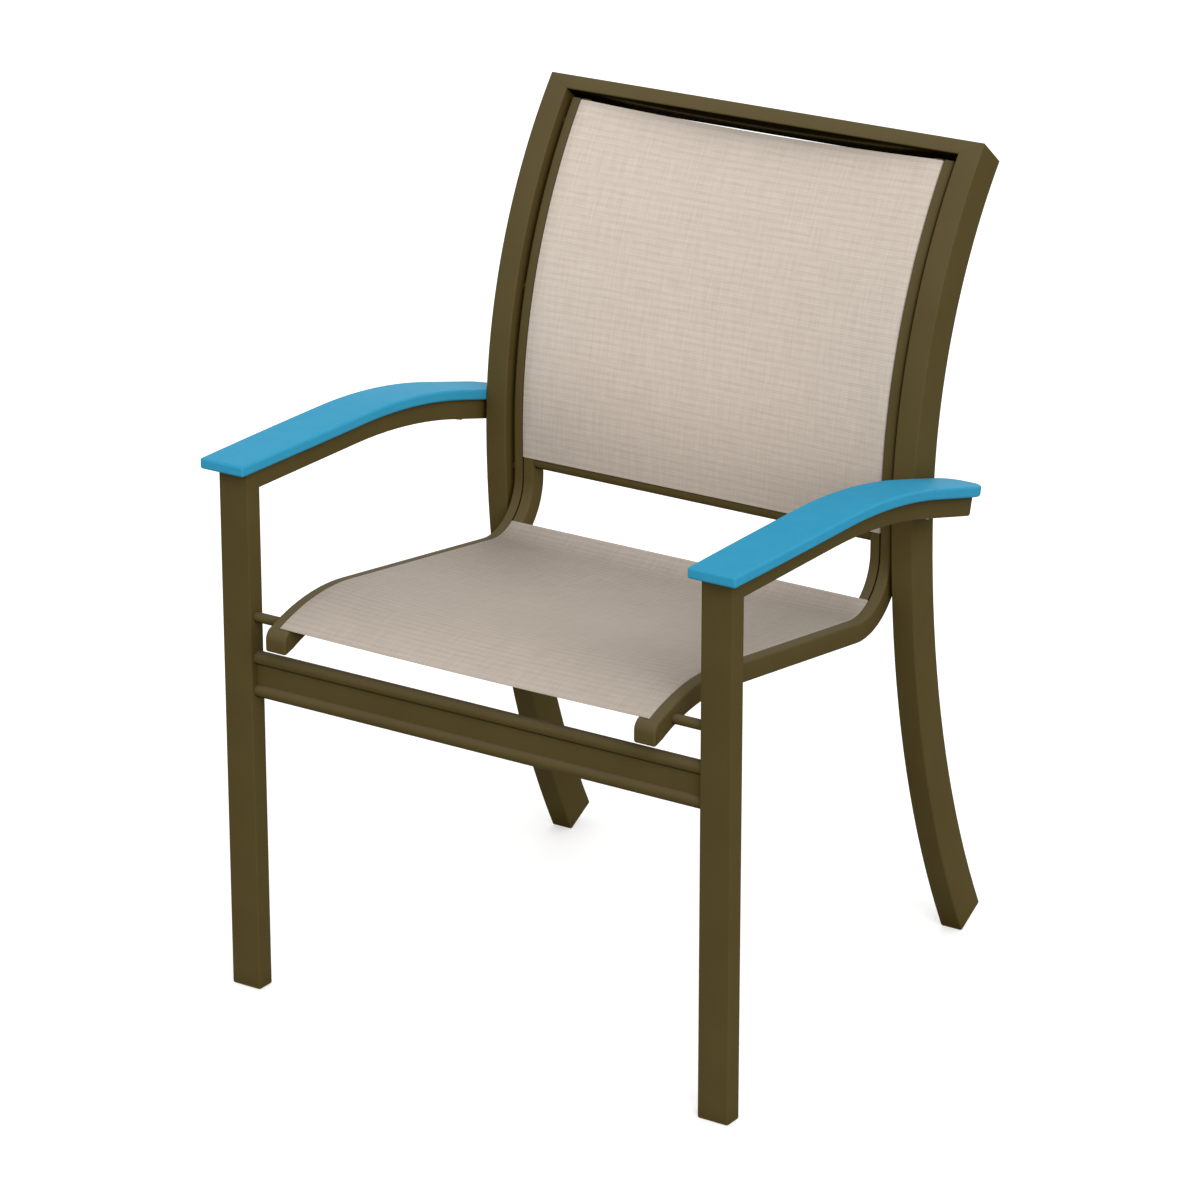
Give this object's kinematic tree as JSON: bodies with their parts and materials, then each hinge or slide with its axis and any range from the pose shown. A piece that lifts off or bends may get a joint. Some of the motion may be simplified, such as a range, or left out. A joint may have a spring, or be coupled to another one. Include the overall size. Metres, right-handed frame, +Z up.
{
  "type": "sling patio chair",
  "caption": "Patio arm chair with a seat and back of woven mesh stretched in a bent, powder-coated aluminium frame, and curved blue arm pads.",
  "frame": {"origin": "on the floor, under the middle of the box around the chair", "axes": "+Z up, the chair faces -Y, +X is the sitter's left"},
  "size_m": [0.6618, 0.6168, 0.8977],
  "materials": {
    "powder_coat": "satin",
    "moulded_bronze": "satin",
    "mesh_fabric": "matte",
    "spline_cord": "matte",
    "arm_pad": "satin",
    "screw": "satin"
  },
  "bodies": {
    "root": {"front_leg_left": "powder_coat", "front_leg_right": "powder_coat", "arm_rail_left": "powder_coat", "arm_rail_right": "powder_coat", "upright_left": "powder_coat", "upright_right": "powder_coat", "top_rail": "powder_coat", "sling_rail_left": "powder_coat", "sling_rail_right": "powder_coat", "rail_nose_cap_left": "moulded_bronze", "rail_nose_cap_right": "moulded_bronze", "front_cross_rod": "powder_coat", "front_stretcher": "powder_coat", "back_spreader_bar": "powder_coat", "seat_spreader_bar": "powder_coat", "rail_spacer_low_left": "powder_coat", "rail_spacer_low_right": "powder_coat", "rail_spacer_middle_left": "powder_coat", "rail_spacer_middle_right": "powder_coat", "rail_spacer_top_left": "powder_coat", "rail_spacer_top_right": "powder_coat", "arm_spacer_left": "powder_coat", "arm_spacer_right": "powder_coat", "seat_sling": "mesh_fabric", "back_sling": "mesh_fabric", "seat_spline_left": "spline_cord", "seat_spline_right": "spline_cord", "back_spline_left": "spline_cord", "back_spline_right": "spline_cord", "front_glide_left": "moulded_bronze", "front_glide_right": "moulded_bronze", "rear_glide_left": "moulded_bronze", "rear_glide_right": "moulded_bronze", "arm_end_plug_left": "moulded_bronze", "arm_end_plug_right": "moulded_bronze", "arm_pad_left": "arm_pad", "arm_pad_right": "arm_pad", "pad_screw_front_left": "screw", "pad_screw_front_right": "screw", "pad_screw_middle_left": "screw", "pad_screw_middle_right": "screw", "pad_screw_rear_left": "screw", "pad_screw_rear_right": "screw"}
  },
  "joints": []
}
